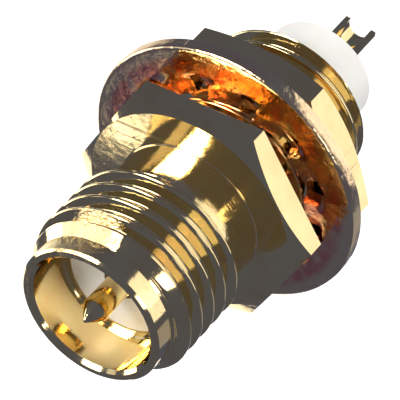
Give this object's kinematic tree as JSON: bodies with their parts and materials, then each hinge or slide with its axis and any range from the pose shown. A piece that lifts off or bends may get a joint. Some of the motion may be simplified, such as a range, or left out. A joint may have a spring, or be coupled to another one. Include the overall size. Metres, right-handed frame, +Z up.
{
  "type": "coaxial bulkhead jack",
  "caption": "Gold-plated threaded coaxial jack with a pin contact, hexagonal flange, lock washer and nut for a panel, and a solder cup behind.",
  "frame": {"origin": "centre of the flange's rear face, which bears on the panel, on the connector's axis", "axes": "+Y along the connector's axis from the mating end to the solder end, +Z up, square to one pair of the flange's flats"},
  "size_m": [0.0104, 0.0176, 0.0104],
  "materials": {
    "body_gold": "gold plated, polished on the neck and flange, turned on the thread",
    "insulator": "white fluoropolymer, waxy",
    "contact_gold": "gold plated",
    "washer_gold": "gold plated over a rough stamped sheet",
    "nut_gold": "gold plated"
  },
  "bodies": {
    "jack": {"connector_body": "body_gold", "insulator": "insulator", "center_contact": "contact_gold"},
    "washer": {"lock_washer": "washer_gold"},
    "nut": {"hex_nut": "nut_gold"}
  },
  "joints": [
    {"name": "washer_travel", "type": "slide", "parent": "jack", "child": "washer", "axis": [0, 1, 0], "range_m": [-0.00094, 0.00278]},
    {"name": "nut_turn", "type": "hinge", "parent": "washer", "child": "nut", "pos_m": [0, 0.00175, 0], "axis": [0, 1, 0], "range_deg": [-480, 1420]}
  ],
  "couplings": [
    {"joint": "nut_turn", "follows": "washer_travel", "rad_per_m": 8905.3}
  ]
}
